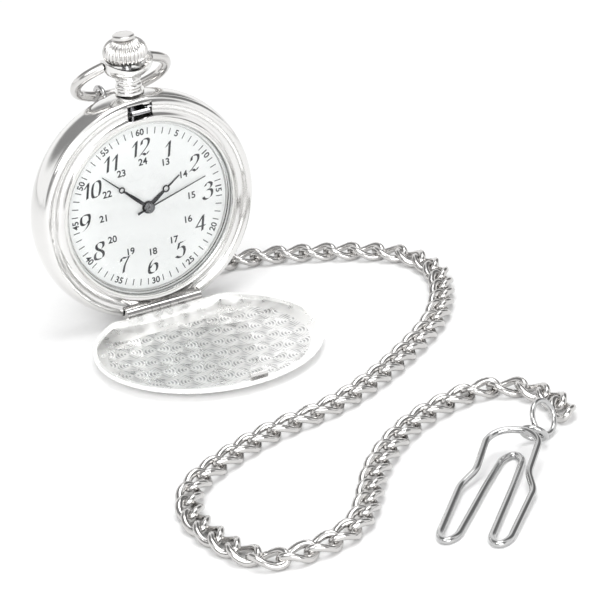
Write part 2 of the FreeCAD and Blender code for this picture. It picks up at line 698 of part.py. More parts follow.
def tube(path, radius):
    """A round bar or tube along a route."""
    start = path.Edges[0].valueAt(path.Edges[0].FirstParameter)
    way = path.Edges[0].tangentAt(path.Edges[0].FirstParameter)
    section = Part.Wire([Part.Circle(start, way, radius).toShape()])
    sweep = Part.BRepOffsetAPI.MakePipeShell(path)
    sweep.add(section)
    sweep.build()
    sweep.makeSolid()
    shape = sweep.shape()
    expected = math.pi * radius ** 2 * path.Length
    if abs(shape.Volume / expected - 1) > 0.01:
        raise RuntimeError(f"a tube's volume is {shape.Volume:.1f} and not {expected:.1f}")
    return shape


def wire_ring(centre, normal, radius, wire):
    return Part.makeTorus(radius, wire, centre, normal)


def make_bow():
    """The oval hoop on the pendant's head, leaning back on the case, and its two pins."""
    side = d.bow_side_arc
    side_x = d.bow_half_width - side
    reach = d.bow_half_height.value - side.value
    # the long arcs' centre, from their touching the side arcs
    offset = (side_x.value ** 2 - reach ** 2) / (2 * reach)
    long_radius = offset + d.bow_half_height.value
    span = math.hypot(side_x.value, offset)
    touch_x = side_x.value + side.value * side_x.value / span
    touch_y = side.value * offset / span
    middle = -d.bow_centre.value
    body = new_body("bow")
    path = new_sketch(body, "XY_Plane")
    low = middle - d.bow_half_height.value
    high = middle + d.bow_half_height.value
    a = Vector(touch_x, middle - touch_y, 0)
    b = Vector(touch_x, middle + touch_y, 0)
    c = Vector(-touch_x, middle + touch_y, 0)
    e = Vector(-touch_x, middle - touch_y, 0)
    path.addGeometry(Part.Arc(Vector(0, low, 0), Vector(
        long_radius * math.sin(0.3), low + long_radius * (1 - math.cos(0.3)), 0), a), False)
    path.addGeometry(Part.Arc(a, Vector(d.bow_half_width.value, middle, 0), b), False)
    path.addGeometry(Part.Arc(b, Vector(0, high, 0), c), False)
    path.addGeometry(Part.Arc(c, Vector(-d.bow_half_width.value, middle, 0), e), False)
    path.addGeometry(Part.Arc(e, Vector(-long_radius * math.sin(0.3), low + long_radius * (
        1 - math.cos(0.3)), 0), Vector(0, low, 0)), False)
    section = new_sketch(body, "YZ_Plane")
    draw_circle(section, low, 0.0, d.bow_wire)
    hoop = body.newObject("PartDesign::AdditivePipe", "hoop")
    hoop.Profile = section
    hoop.Spine = (path, [f"Edge{n}" for n in range(1, 6)])
    hoop.Mode = "Standard"
    doc.recompute()
    pocket(body, box_outline(-d.head_radius - 0.12, d.head_radius + 0.12, -3.6, 4.0), 3.0, 6.0)
    lean = Rotation(Vector(1, 0, 0), 180 - d.bow_lean.value)
    put(body, 0.0, hinge_y + d.axis_depth, d.bow_height, lean)

    pins = new_body("bow_pins")
    for start in (4.3, -6.25):
        pad(pins, circles((0.0, 0.0, 0.44)), start, 1.95, plane="YZ_Plane")
    return put(pins, 0.0, hinge_y + d.axis_depth, d.bow_height, lean)


# The chain's route, from the ring on the bow down behind the case and along the ground:
# x, y behind the hinge line, and height of the middle of the chain.
CHAIN_ROUTE = [
    (-3, 13.2, 39.8), (-3, 13.3, 29), (-2.5, 13.6, 18.5), (0, 14.2, 9), (6.5, 15.2, 3.2),
    (15.5, 15.3, 2.1), (26, 14, 2.1), (36, 9, 2.1), (45, 3, 2.1), (53, -5, 2.1), (54, -17, 2.1),
    (48, -29, 2.1), (41, -38, 2.1), (31, -46, 2.1), (19, -54, 2.1), (6, -60, 2.1), (-8, -62, 2.1),
    (-20, -67, 2.1), (-30, -73, 2.1), (-35, -83, 2.1), (-35, -92, 2.1), (-34, -100, 2.1), (-31, -106, 2.1),
    (-25, -107, 2.1), (-18, -106, 2.1), (-12, -103, 2.1), (-7, -97, 2.1), (-1, -88, 2.1), (7, -80, 2.1),
    (16, -74, 2.1), (25, -71, 2.1), (32, -70, 2.1), (38, -74, 2.1), (40, -80, 2.1), (40, -86, 2.1),
    (37, -91, 2.1)]
DROP_POINTS = 4


def route_point(point):
    x, y, z = point
    return Vector(x, hinge_y.value + y, z)


def make_chain():
    """The chain as a plain tube: the strand that hangs from the bow, and the run on the ground."""
    points = [route_point(point) for point in CHAIN_ROUTE]
    radii = {}
    for corner in range(1, len(points) - 1):
        before = points[corner - 1] - points[corner]
        after = points[corner + 1] - points[corner]
        half_turn = (math.pi - before.getAngle(after)) / 2
        radii[corner] = 0.45 * min(before.Length, after.Length) / math.tan(half_turn)
        print(f"chain corner {corner}: radius {radii[corner]:.1f}")
    # the two tubes meet half way along a straight run
    join = (points[DROP_POINTS - 1] + points[DROP_POINTS]) * 0.5
    drop = points[:DROP_POINTS] + [join]
    run = [join] + points[DROP_POINTS:]
    drop_radii = {n: radii[n] for n in range(1, DROP_POINTS)}
    run_radii = {n - DROP_POINTS + 1: radii[n] for n in range(DROP_POINTS, len(points) - 1)}
    total = 0.0
    for label, stretch, bends in (("chain_drop", drop, drop_radii), ("chain_run", run, run_radii)):
        path = rounded_route(stretch, bends)
        total += path.Length
        piece = solid_piece(label, tube(path, d.chain_tube.value))
        pieces.append(piece)
    print(f"chain length {total:.1f}")


def make_clip():
    """The rings at both ends of the chain, and the sprung wire clip."""
    wire = d.ring_wire.value
    bow_ring = wire_ring(route_point((-3.0, 12.6, 43.6)), Vector(1, 0, 0), 2.75, wire)
    pieces.append(solid_piece("bow_ring", bow_ring))

    ring = wire_ring(route_point((32.2, -91.6, 3.75)), Vector(0.42, -0.82, 0.38), 3.1, wire)
    pieces.append(solid_piece("chain_end_ring", ring))
    eye = wire_ring(route_point((28.6, -94.0, 2.6)), Vector(0.62, 0.52, 0.59), 2.2, wire)
    pieces.append(solid_piece("clip_ring", eye))

    # the clip lies along its own length from the crossbar, at an eighth of a turn to the dial
    start = route_point((25.0, -94.2, 0.0))
    along = Vector(-0.700, -0.714, 0.0)
    across = Vector(0.714, -0.700, 0.0)
    half = d.clip_wire.value

    def at(length, width, height):
        return start + along * length + across * width + Vector(0, 0, height)

    upper = [at(0.2, 4.8, 4.6), at(12.0, 4.7, 2.3), at(16.5, 6.6, 1.3), at(33.5, 6.2, half)]
    lower = [at(35.8, 4.6, half), at(33.5, 2.9, half), at(14.0, 2.4, half), at(4.2, 1.9, half),
             at(1.8, 0.0, half)]
    sides = upper + lower
    mirrored = []
    for point in reversed(sides[:-1]):
        offset = point - start
        mirrored.append(point - across * (2 * offset.dot(across)))
    route = sides + mirrored
    bends = {}
    count = len(route)
    for corner in range(count):
        before = route[corner - 1] - route[corner]
        after = route[(corner + 1) % count] - route[corner]
        half_turn = (math.pi - before.getAngle(after)) / 2
        bends[corner] = 0.45 * min(before.Length, after.Length) / math.tan(half_turn)
        bends[corner] = min(bends[corner], 6.0)
    path = rounded_route(route, bends, closed=True)
    pieces.append(solid_piece("belt_clip", tube(path, half)))


# ------------------------------------------------------------------ build, check and write

make_case_middle()
make_bezel()
make_glass()
make_caseback()
make_movement_ring()
make_dial()
make_pendant()
make_crown()
make_latch()
make_cover()
make_hinge()
make_train()
make_hands()
make_movement()
make_bow()
make_chain()
make_clip()
doc.recompute()

for item in doc.Objects:
    if "Invalid" in item.State or "Error" in item.State:
        raise RuntimeError(f"{item.Label}: {item.State}")
faulty = [piece.Label for piece in pieces if piece.Shape.isNull() or not piece.Shape.isValid()
          or not piece.Shape.Solids]
if faulty:
    raise RuntimeError(f"no valid solid in {', '.join(faulty)}")

os.makedirs("parts", exist_ok=True)
for piece in pieces:
    piece.Shape.exportStep(os.path.join("parts", f"{piece.Label}.step"))
    print(f"{piece.Label}: {piece.Shape.Volume:.2f} mm3, {len(piece.Shape.Solids)} solid(s)")
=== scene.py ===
import math

import bmesh
import bpy
from mathutils import Matrix, Vector


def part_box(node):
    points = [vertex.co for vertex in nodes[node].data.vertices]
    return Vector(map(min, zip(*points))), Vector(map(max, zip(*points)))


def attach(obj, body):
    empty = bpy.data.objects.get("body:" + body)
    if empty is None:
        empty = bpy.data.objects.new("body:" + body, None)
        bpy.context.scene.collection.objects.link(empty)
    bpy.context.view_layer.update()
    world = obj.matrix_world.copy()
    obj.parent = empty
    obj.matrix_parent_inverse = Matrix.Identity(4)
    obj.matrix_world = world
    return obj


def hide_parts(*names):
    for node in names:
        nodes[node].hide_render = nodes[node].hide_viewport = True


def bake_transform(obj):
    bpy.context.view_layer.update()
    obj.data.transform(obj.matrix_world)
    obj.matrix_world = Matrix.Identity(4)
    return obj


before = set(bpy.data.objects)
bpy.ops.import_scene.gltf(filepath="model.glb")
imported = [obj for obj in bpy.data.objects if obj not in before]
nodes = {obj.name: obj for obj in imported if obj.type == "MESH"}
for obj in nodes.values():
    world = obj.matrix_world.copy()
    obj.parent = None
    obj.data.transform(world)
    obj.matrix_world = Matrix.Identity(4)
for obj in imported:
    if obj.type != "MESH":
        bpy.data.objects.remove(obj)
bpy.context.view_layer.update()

# Where the watch stands: the cover's hinge pin runs along X near the ground, and the dial stands
# upright behind it, looking along -Y. Sizes are in metres.
MM = 0.001
pin_low, pin_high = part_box("hinge_pin")
dial_low, dial_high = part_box("dial")
hinge_y = (pin_low.y + pin_high.y) / 2
dial_height = (dial_low.z + dial_high.z) / 2
# from the watch laid face up, 12 o'clock along its +Y, to the watch as it stands
upright = Matrix.Translation((0, hinge_y, dial_height)) @ Matrix.Rotation(math.radians(90), 4, "X")


# The camera looks down on the watch from the front, a little from its 9 o'clock side, and is
# rolled a few degrees, as it would be held by hand over a table.
camera_azimuth = math.radians(-25.96)
camera_elevation = math.radians(23.49)
camera_roll = math.radians(-5.18)
camera_distance = 0.617
camera_shift_right = 0.0272
camera_shift_up = 0.00365
camera_lens = 184.7
back = Vector((math.sin(camera_azimuth) * math.cos(camera_elevation),
               -math.cos(camera_azimuth) * math.cos(camera_elevation),
               math.sin(camera_elevation)))
level_right = Vector((math.cos(camera_azimuth), math.sin(camera_azimuth), 0))
level_up = back.cross(level_right)
right = math.cos(camera_roll) * level_right + math.sin(camera_roll) * level_up
up = math.cos(camera_roll) * level_up - math.sin(camera_roll) * level_right
eye = (Vector((0, hinge_y, 0)) + right * camera_shift_right + up * camera_shift_up
       + back * camera_distance)
camera_data = bpy.data.cameras.new("camera")
camera_data.sensor_width = 36.0
camera_data.lens = camera_lens
camera = bpy.data.objects.new("camera", camera_data)
axes = Matrix((right, up, back)).transposed().to_4x4()
camera.matrix_world = Matrix.Translation(eye) @ axes
bpy.context.scene.collection.objects.link(camera)
bpy.context.scene.camera = camera


# The curb chain: about 67 oval links of round drawn wire, each twisted through a quarter
# turn so that the chain lies flat. It hangs from the bow's ring and runs out over the table.
CHAIN_ROUTE = [
    (-3, 13.2, 39.8), (-3, 13.3, 29), (-2.5, 13.6, 18.5), (0, 14.2, 9), (6.5, 15.2, 2.7),
    (15.5, 15.3, 1.6), (26, 14, 1.6), (36, 9, 1.6), (45, 3, 1.6), (53, -5, 1.6), (54, -17, 1.6),
    (48, -29, 1.6), (41, -38, 1.6), (31, -46, 1.6), (19, -54, 1.6), (6, -60, 1.6), (-8, -62, 1.6),
    (-20, -67, 1.6), (-30, -73, 1.6), (-35, -83, 1.6), (-35, -92, 1.6), (-34, -100, 1.6),
    (-31, -106, 1.6), (-25, -107, 1.6), (-18, -106, 1.6), (-12, -103, 1.6), (-7, -97, 1.6),
    (-1, -88, 1.6), (7, -80, 1.6), (16, -74, 1.6), (25, -71, 1.6), (32, -70, 1.6),
    (38, -74, 1.6), (40, -80, 1.6), (40, -86, 1.6), (37, -91, 1.6)]
LINK_PITCH = 5.1 * MM
LINK_WIRE = 1.5 * MM
LINK_WIDTH = 5.3 * MM
LINK_SECTION = 10
LINK_STEPS = 24
LINK_TWIST = math.radians(48)


def read_spline(controls, closed=False, fineness=12):
    """The points of a smooth curve through a NURBS spline's control points."""
    curve = bpy.data.curves.new("spline", "CURVE")
    curve.dimensions = "3D"
    curve.resolution_u = fineness
    spline = curve.splines.new("NURBS")
    spline.points.add(len(controls) - 1)
    for point, place in zip(spline.points, controls):
        point.co = (*place, 1.0)
    spline.order_u = 3
    spline.use_endpoint_u = not closed
    spline.use_cyclic_u = closed
    holder = bpy.data.objects.new("spline", curve)
    line = bpy.data.meshes.new_from_object(holder)
    points = [vertex.co.copy() for vertex in line.vertices]
    bpy.data.meshes.remove(line)
    bpy.data.objects.remove(holder)
    bpy.data.curves.remove(curve)
    return points


def finish_piece(mesh, name, material, body, smooth=True, replaces=()):
    """A bmesh made an object of the watch, its faces outwards, riding on a body."""
    bmesh.ops.recalc_face_normals(mesh, faces=mesh.faces)
    data = bpy.data.meshes.new(name)
    mesh.to_mesh(data)
    mesh.free()
    data.polygons.foreach_set("use_smooth", [smooth] * len(data.polygons))
    piece = bpy.data.objects.new(name, data)
    bpy.context.scene.collection.objects.link(piece)
    data.materials.append(material)
    if body:
        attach(piece, body)
    if replaces:
        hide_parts(*replaces)
    return piece


def metal(name, colour, roughness, grain=0.0):
    """Polished metal: a clear mirror with faint wear in its gloss, and fine marks in its face."""
    material = bpy.data.materials.new(name)
    material.use_nodes = True
    tree = material.node_tree
    shader = tree.nodes["Principled BSDF"]
    shader.inputs["Metallic"].default_value = 1.0
    place = tree.nodes.new("ShaderNodeTexCoord")
    wear = tree.nodes.new("ShaderNodeTexNoise")
    wear.inputs["Scale"].default_value = 450.0
    wear.inputs["Detail"].default_value = 4.0
    tree.links.new(place.outputs["Object"], wear.inputs["Vector"])
    gloss = tree.nodes.new("ShaderNodeMapRange")
    gloss.inputs["From Min"].default_value = 0.3
    gloss.inputs["From Max"].default_value = 0.7
    gloss.inputs["To Min"].default_value = roughness * 0.7
    gloss.inputs["To Max"].default_value = roughness * 1.4
    tree.links.new(wear.outputs["Fac"], gloss.inputs["Value"])
    tree.links.new(gloss.outputs["Result"], shader.inputs["Roughness"])
    tint = tree.nodes.new("ShaderNodeValToRGB")
    tint.color_ramp.elements[0].color = (*[c * 0.94 for c in colour], 1)
    tint.color_ramp.elements[1].color = (*colour, 1)
    tree.links.new(wear.outputs["Fac"], tint.inputs["Fac"])
    tree.links.new(tint.outputs["Color"], shader.inputs["Base Color"])
    if grain:
        marks = tree.nodes.new("ShaderNodeTexNoise")
        marks.inputs["Scale"].default_value = 2600.0
        marks.inputs["Detail"].default_value = 2.0
        tree.links.new(place.outputs["Object"], marks.inputs["Vector"])
        bump = tree.nodes.new("ShaderNodeBump")
        bump.inputs["Strength"].default_value = grain
        bump.inputs["Distance"].default_value = 0.02 * MM
        tree.links.new(marks.outputs["Fac"], bump.inputs["Height"])
        tree.links.new(bump.outputs["Normal"], shader.inputs["Normal"])
    return material


chain_silver = metal("chain_silver", (0.60, 0.59, 0.58), 0.10, grain=0.12)
route = [Vector((x * MM, hinge_y + y * MM, z * MM)) for x, y, z in CHAIN_ROUTE]
centreline = read_spline(route)


def along(line, spacing):
    """Points and directions at an even spacing along a line of points."""
    places = []
    travelled = 0.0
    wanted = spacing / 2
    for start, end in zip(line, line[1:]):
        step = (end - start).length
        while step > 0 and travelled + step >= wanted:
            share = (wanted - travelled) / step
            places.append((start.lerp(end, share), (end - start).normalized()))
            wanted += spacing
        travelled += step
    return places


def link_shape():
    """One link at the origin, its length along X: a torus drawn out to an oval and twisted."""
    link = bmesh.new()
    bmesh.ops.create_circle(link, segments=LINK_SECTION, radius=LINK_WIRE / 2)
    bmesh.ops.rotate(link, verts=link.verts, matrix=Matrix.Rotation(math.radians(90), 3, "X"))
    reach = 2 * MM
    bmesh.ops.translate(link, verts=link.verts, vec=(reach, 0, 0))
    bmesh.ops.spin(link, geom=link.verts[:] + link.edges[:], cent=(0, 0, 0), axis=(0, 0, 1),
                   angle=math.tau, steps=LINK_STEPS, use_merge=True)
    half_length = LINK_PITCH / 2 + LINK_WIRE / 2
    half_width = (LINK_WIDTH - LINK_WIRE) / 2
    for vertex in link.verts:
        turn = math.atan2(vertex.co.y, vertex.co.x)
        ring = Vector((math.cos(turn), math.sin(turn), 0)) * reach
        oval = Vector((half_length * math.cos(turn), half_width * math.sin(turn), 0))
        vertex.co += oval - ring
        twist = LINK_TWIST * max(-1.0, min(1.0, vertex.co.x / half_length))
        vertex.co.rotate(Matrix.Rotation(twist, 3, "X"))
    data = bpy.data.meshes.new("link")
    link.to_mesh(data)
    link.free()
    return data


link_mesh = link_shape()
places = along(centreline, LINK_PITCH)
# each link keeps the last one's face upwards; the run on the table sets it for the hanging part
faces_up = [None] * len(places)
normal = Vector((0, 0, 1))
for number in range(len(places) - 1, -1, -1):
    way = places[number][1]
    normal = (normal - way * normal.dot(way)).normalized()
    faces_up[number] = normal.copy()
chain_mesh = bmesh.new()
for (place, way), face_up in zip(places, faces_up):
    before = len(chain_mesh.verts)
    chain_mesh.from_mesh(link_mesh)
    chain_mesh.verts.ensure_lookup_table()
    turned = Matrix((way, face_up.cross(way), face_up)).transposed().to_4x4()
    bmesh.ops.transform(chain_mesh, matrix=Matrix.Translation(place) @ turned,
                        verts=chain_mesh.verts[before:])
chain = finish_piece(chain_mesh, "curb_chain", chain_silver, None,
                     replaces=("chain_drop", "chain_run"))
bpy.data.meshes.remove(link_mesh)
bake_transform(chain)


# The metal parts that keep their machined shape: case, bezel, hinge, pendant, crown, bow, rings
# and clip. Their faces are smoothed between their sharp edges, as polishing leaves them.
SHARP_EDGE = math.radians(32)


def smoothed(node, material):
    """A machined piece: its material, and even shading between its edges."""
    piece = nodes[node]
    for index in range(len(piece.data.materials)):
        piece.data.materials[index] = material
    piece.data.polygons.foreach_set("use_smooth", [True] * len(piece.data.polygons))
    weld = piece.modifiers.new("weld", "WELD")
    weld.merge_threshold = 0.001 * MM
    split = piece.modifiers.new("edges", "EDGE_SPLIT")
    split.split_angle = SHARP_EDGE


case_silver = metal("case_silver", (0.80, 0.795, 0.785), 0.12, grain=0.06)
crown_silver = metal("crown_silver", (0.68, 0.67, 0.66), 0.13, grain=0.1)
hinge_silver = metal("hinge_silver", (0.76, 0.75, 0.74), 0.15, grain=0.1)
wire_silver = metal("wire_silver", (0.52, 0.52, 0.52), 0.09, grain=0.1)
for node in ("case_middle", "bezel", "caseback", "pendant"):
    smoothed(node, case_silver)
for node in ("bow", "crown_cap"):
    smoothed(node, crown_silver)
for node in ("case_knuckle_1", "case_knuckle_2", "case_knuckle_3", "cover_knuckle_1",
             "cover_knuckle_2", "hinge_pin", "bow_pins", "cover_catch"):
    smoothed(node, hinge_silver)
for node in ("bow_ring", "chain_end_ring", "clip_ring", "belt_clip"):
    smoothed(node, wire_silver)


# The cover: a shallow pressed dish, engine-turned inside in small pinwheels of fine arcs, with a
# plain polished border and wall.
LATTICE_PITCH = 5.4 * MM
LATTICE_TURN = 20
RINGS_PER_CELL = 8
ENGRAVED_RADIUS = 19.8 * MM
ENGRAVED_EDGE = 13.8 * MM
ENGRAVED_LEVEL = 0.45 * MM
cover_low, cover_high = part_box("cover")
COVER_REACH = hinge_y - (cover_low.y + (cover_high.x - cover_low.x) / 2)


def engine_turned(name):
    """Silver with rings cut round a square lattice of centres, inside a plain border."""
    material = metal(name, (0.88, 0.88, 0.87), 0.30)
    tree = material.node_tree
    shader = tree.nodes["Principled BSDF"]
    place = tree.nodes.new("ShaderNodeTexCoord")
    split = tree.nodes.new("ShaderNodeSeparateXYZ")
    tree.links.new(place.outputs["Object"], split.inputs["Vector"])

    def maths(operation, first, second=0.0):
        node = tree.nodes.new("ShaderNodeMath")
        node.operation = operation
        for socket, value in zip(node.inputs, (first, second)):
            if isinstance(value, float):
                socket.default_value = value
            else:
                tree.links.new(value, socket)
        return node.outputs[0]

    # how far a place is from the middle of its cell of the lattice, in cells, and which way
    mapping = tree.nodes.new("ShaderNodeMapping")
    mapping.inputs["Rotation"].default_value = (0, 0, math.radians(LATTICE_TURN))
    mapping.inputs["Scale"].default_value = (1 / LATTICE_PITCH, 1 / LATTICE_PITCH, 0)
    tree.links.new(place.outputs["Object"], mapping.inputs["Vector"])
    lattice = tree.nodes.new("ShaderNodeSeparateXYZ")
    tree.links.new(mapping.outputs["Vector"], lattice.inputs["Vector"])
    across = maths("SUBTRACT", maths("FRACT", lattice.outputs["X"]), 0.5)
    along_it = maths("SUBTRACT", maths("FRACT", lattice.outputs["Y"]), 0.5)
    reach = maths("SQRT", maths("ADD", maths("MULTIPLY", across, across),
                                maths("MULTIPLY", along_it, along_it)))
    bearing = maths("ARCTAN2", along_it, across)
    waves = maths("SINE", maths("MULTIPLY", reach, math.tau * RINGS_PER_CELL))
    # painted sheen: light and dark quarters in each cell, as a cut ring facing the light shows
    painted_sheen = maths("SINE", maths("ADD", maths("MULTIPLY", bearing, 4.0), 0.9))
    pyramid = maths("MAXIMUM", maths("ABSOLUTE", across), maths("ABSOLUTE", along_it))

    from_middle = maths("SUBTRACT", split.outputs["Y"], hinge_y - COVER_REACH)
    radius = maths("SQRT", maths("ADD", maths("MULTIPLY", split.outputs["X"], split.outputs["X"]),
                                 maths("MULTIPLY", from_middle, from_middle)))
    inside = maths("LESS_THAN", radius, ENGRAVED_RADIUS)
    off_hinge = maths("LESS_THAN", from_middle, ENGRAVED_EDGE)
    top_side = maths("GREATER_THAN", split.outputs["Z"], ENGRAVED_LEVEL)
    field = maths("MULTIPLY", maths("MULTIPLY", inside, off_hinge), top_side)

    bump = tree.nodes.new("ShaderNodeBump")
    bump.inputs["Strength"].default_value = 1.0
    bump.inputs["Distance"].default_value = 1.0 * MM
    height = maths("ADD", maths("MULTIPLY", pyramid, 0.6), maths("MULTIPLY", waves, 0.012))
    tree.links.new(maths("MULTIPLY", height, field), bump.inputs["Height"])
    tree.links.new(bump.outputs["Normal"], shader.inputs["Normal"])

    # painted shade along the ring grooves and painted sheen by quarter, mixed into the colour
    painted_groove_shade = maths("MULTIPLY", maths("ADD", waves, 1.0), 0.5)
    painted_sheen_quarter = maths("MULTIPLY", maths("ADD", painted_sheen, 1.0), 0.5)
    painted_shade_mix = maths("MULTIPLY", painted_groove_shade, maths("ADD", maths("MULTIPLY", painted_sheen_quarter, 0.8), 0.12))
    shade = tree.nodes.new("ShaderNodeMix")
    shade.data_type = "RGBA"
    shade.inputs["A"].default_value = (1.0, 1.0, 0.99, 1)
    shade.inputs["B"].default_value = (0.30, 0.30, 0.31, 1)
    tree.links.new(maths("MULTIPLY", painted_shade_mix, field), shade.inputs["Factor"])
    tree.links.new(shade.outputs["Result"], shader.inputs["Base Color"])
    return material


smoothed("cover", engine_turned("cover_silver"))


# The dial: a white enamelled plate, printed in black with the hours in a sloping broad-nib hand,
# the afternoon hours inside them, and a minute track with every fifth minute in figures.
def enamel(name, colour, roughness, relief=0.0):
    """Paint or enamel: an even coat with the slightest mottle and orange peel."""
    material = bpy.data.materials.new(name)
    material.use_nodes = True
    tree = material.node_tree
    shader = tree.nodes["Principled BSDF"]
    shader.inputs["Roughness"].default_value = roughness
    place = tree.nodes.new("ShaderNodeTexCoord")
    mottle = tree.nodes.new("ShaderNodeTexNoise")
    mottle.inputs["Scale"].default_value = 900.0
    tree.links.new(place.outputs["Object"], mottle.inputs["Vector"])
    tint = tree.nodes.new("ShaderNodeValToRGB")
    tint.color_ramp.elements[0].color = (*[c * 0.96 for c in colour], 1)
    tint.color_ramp.elements[1].color = (*colour, 1)
    tree.links.new(mottle.outputs["Fac"], tint.inputs["Fac"])
    tree.links.new(tint.outputs["Color"], shader.inputs["Base Color"])
    if relief:
        bump = tree.nodes.new("ShaderNodeBump")
        bump.inputs["Strength"].default_value = relief
        bump.inputs["Distance"].default_value = 0.01 * MM
        tree.links.new(mottle.outputs["Fac"], bump.inputs["Height"])
        tree.links.new(bump.outputs["Normal"], shader.inputs["Normal"])
    return material


DIAL_FACE = -2.1 * MM
PRINT_LIFT = 0.012 * MM
HOUR_RING = 12.45 * MM
HOUR_SPREAD = 1.05 * MM
HOUR_HEIGHT = 3.2 * MM
DAY_RING = 9.6 * MM
DAY_HEIGHT = 1.4 * MM
TRACK_RING = 15.75 * MM
TRACK_HEIGHT = 1.3 * MM
TICK_LENGTH = 1.35 * MM
TICK_WIDTH = 0.19 * MM
white_enamel = enamel("white_enamel", (0.93, 0.93, 0.925), 0.35, relief=0.1)
black_print = enamel("black_print", (0.018, 0.018, 0.022), 0.45)


def spun(profile, steps=128):
    """A closed turned shape about Z: the profile is its cross-section, radius and height."""
    turned = bmesh.new()
    corners = [turned.verts.new((radius * MM, 0, height * MM)) for radius, height in profile]
    edges = [turned.edges.new(pair) for pair in zip(corners, corners[1:] + corners[:1])]
    bmesh.ops.spin(turned, geom=corners + edges, cent=(0, 0, 0), axis=(0, 0, 1),
                   angle=math.tau, steps=steps, use_merge=True)
    bmesh.ops.remove_doubles(turned, verts=turned.verts, dist=0.001 * MM)
    bmesh.ops.recalc_face_normals(turned, faces=turned.faces)
    return turned


dial_mesh = spun([(1.0, -2.5), (18.3, -2.5), (18.3, -2.1), (1.0, -2.1)])
dial_mesh.transform(upright)
finish_piece(dial_mesh, "dial_plate", white_enamel, "case", smooth=False,
             replaces=("dial",))

# A white moulded ring hides the gap round the dial, sloping up from it to the glass.
border = spun([(17.15, -2.08), (17.5, -2.08), (17.95, -1.4), (17.62, -1.4)])
border.transform(upright)
finish_piece(border, "dial_border", enamel("border_white", (0.86, 0.86, 0.85), 0.4, relief=0.1),
             "case")

# Each figure is a few strokes of the pen, in a box one high: control points of each stroke.
FIGURES = {
    "0": [[(0.36, 1.0), (0.1, 0.98), (0.0, 0.5), (0.06, 0.0), (0.3, 0.0), (0.52, 0.0),
           (0.62, 0.5), (0.56, 1.0), (0.36, 1.0)]],
    "1": [[(0.02, 0.66), (0.14, 0.8), (0.3, 0.98)], [(0.3, 1.0), (0.28, 0.5), (0.27, 0.0)]],
    "2": [[(0.08, 0.7), (0.08, 1.0), (0.34, 1.04), (0.62, 0.98), (0.6, 0.62), (0.3, 0.3),
           (0.0, 0.02)], [(0.0, 0.02), (0.2, 0.16), (0.4, 0.0), (0.52, 0.0), (0.62, 0.18)]],
    "3": [[(0.1, 0.82), (0.16, 1.02), (0.4, 1.04), (0.62, 0.9), (0.5, 0.6), (0.24, 0.56)],
          [(0.24, 0.56), (0.64, 0.6), (0.66, 0.1), (0.34, -0.06), (0.04, 0.0), (0.0, 0.14)]],
    "4": [[(0.5, 1.0), (0.26, 0.66), (0.0, 0.3)], [(0.0, 0.3), (0.34, 0.3), (0.7, 0.3)],
          [(0.5, 1.0), (0.5, 0.5), (0.48, 0.0)]],
    "5": [[(0.2, 0.96), (0.4, 0.9), (0.66, 1.02)], [(0.2, 0.96), (0.16, 0.76), (0.12, 0.56)],
          [(0.12, 0.56), (0.4, 0.72), (0.66, 0.5), (0.58, 0.0), (0.22, -0.04), (0.0, 0.1)]],
    "6": [[(0.6, 0.98), (0.22, 0.86), (0.0, 0.5), (0.0, 0.02), (0.32, -0.04), (0.6, 0.06),
           (0.62, 0.5), (0.36, 0.6), (0.14, 0.44), (0.08, 0.3)]],
    "7": [[(0.06, 0.76), (0.06, 1.0), (0.24, 0.98), (0.44, 0.92), (0.66, 1.0)],
          [(0.66, 1.0), (0.4, 0.6), (0.3, 0.3), (0.28, 0.0)]],
    "8": [[(0.34, 0.54), (0.06, 0.66), (0.08, 1.0), (0.36, 1.04), (0.6, 1.0), (0.6, 0.68),
           (0.3, 0.52), (0.0, 0.4), (0.0, 0.0), (0.3, -0.04), (0.64, 0.0), (0.64, 0.4),
           (0.34, 0.54)]],
    "9": [[(0.58, 0.66), (0.44, 0.42), (0.2, 0.4), (0.0, 0.54), (0.02, 1.0), (0.34, 1.04),
           (0.64, 1.0), (0.64, 0.5), (0.42, 0.12), (0.12, -0.02)]],
}
FIGURE_ADVANCE = 0.55
FIGURE_SIDES = 0.14
FIGURE_WIDTH = 0.92
FIGURE_SLOPE = 0.16
NIB = Vector((0.17, 0.08, 0))
PEN_LIFT = 0.0004 * MM


def pen_figures(target, text, centre, height):
    """Write figures on the dial with a broad nib held at one angle."""
    width = FIGURE_ADVANCE * len(text) + FIGURE_SIDES
    for place, digit in enumerate(text):
        for stroke_number, stroke in enumerate(FIGURES[digit]):
            line = read_spline([(x, y, 0) for x, y in stroke], fineness=10)
            points = []
            for point in line:
                x = (point.x * FIGURE_WIDTH + FIGURE_ADVANCE * place - width / 2
                     + FIGURE_SLOPE * (point.y - 0.5))
                points.append(Vector((x, point.y - 0.5, 0)) * height)
            lift = Vector((0, 0, DIAL_FACE + PRINT_LIFT + PEN_LIFT * (stroke_number + 1)))
            nib = NIB * height / 2
            start = centre + points[0] + lift
            ends = [target.verts.new(start - nib), target.verts.new(start + nib)]
            edge = target.edges.new(ends)
            for previous, point in zip(points, points[1:]):
                grown = bmesh.ops.extrude_edge_only(target, edges=[edge])["geom"]
                new_ends = [item for item in grown if isinstance(item, bmesh.types.BMVert)]
                bmesh.ops.translate(target, verts=new_ends, vec=point - previous)
                edge = [item for item in grown if isinstance(item, bmesh.types.BMEdge)
                        and set(item.verts) == set(new_ends)][0]


def dial_place(minutes, radius):
    """The place of a minute at a radius, with 12 o'clock along +Y."""
    turn = math.radians(minutes * 6)
    return Vector((math.sin(turn) * radius, math.cos(turn) * radius, 0))


def face_out(piece):
    """Printed shapes are open sheets: each face is turned to look out of the dial."""
    for face in piece.faces:
        face.normal_update()
        if face.normal.z < 0:
            face.normal_flip()


def print_piece(mesh, name):
    """Printed sheets, drawn on the watch laid flat, made a piece of the standing dial."""
    face_out(mesh)
    mesh.transform(upright)
    data = bpy.data.meshes.new(name)
    mesh.to_mesh(data)
    mesh.free()
    piece = bpy.data.objects.new(name, data)
    bpy.context.scene.collection.objects.link(piece)
    data.materials.append(black_print)
    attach(piece, "case")


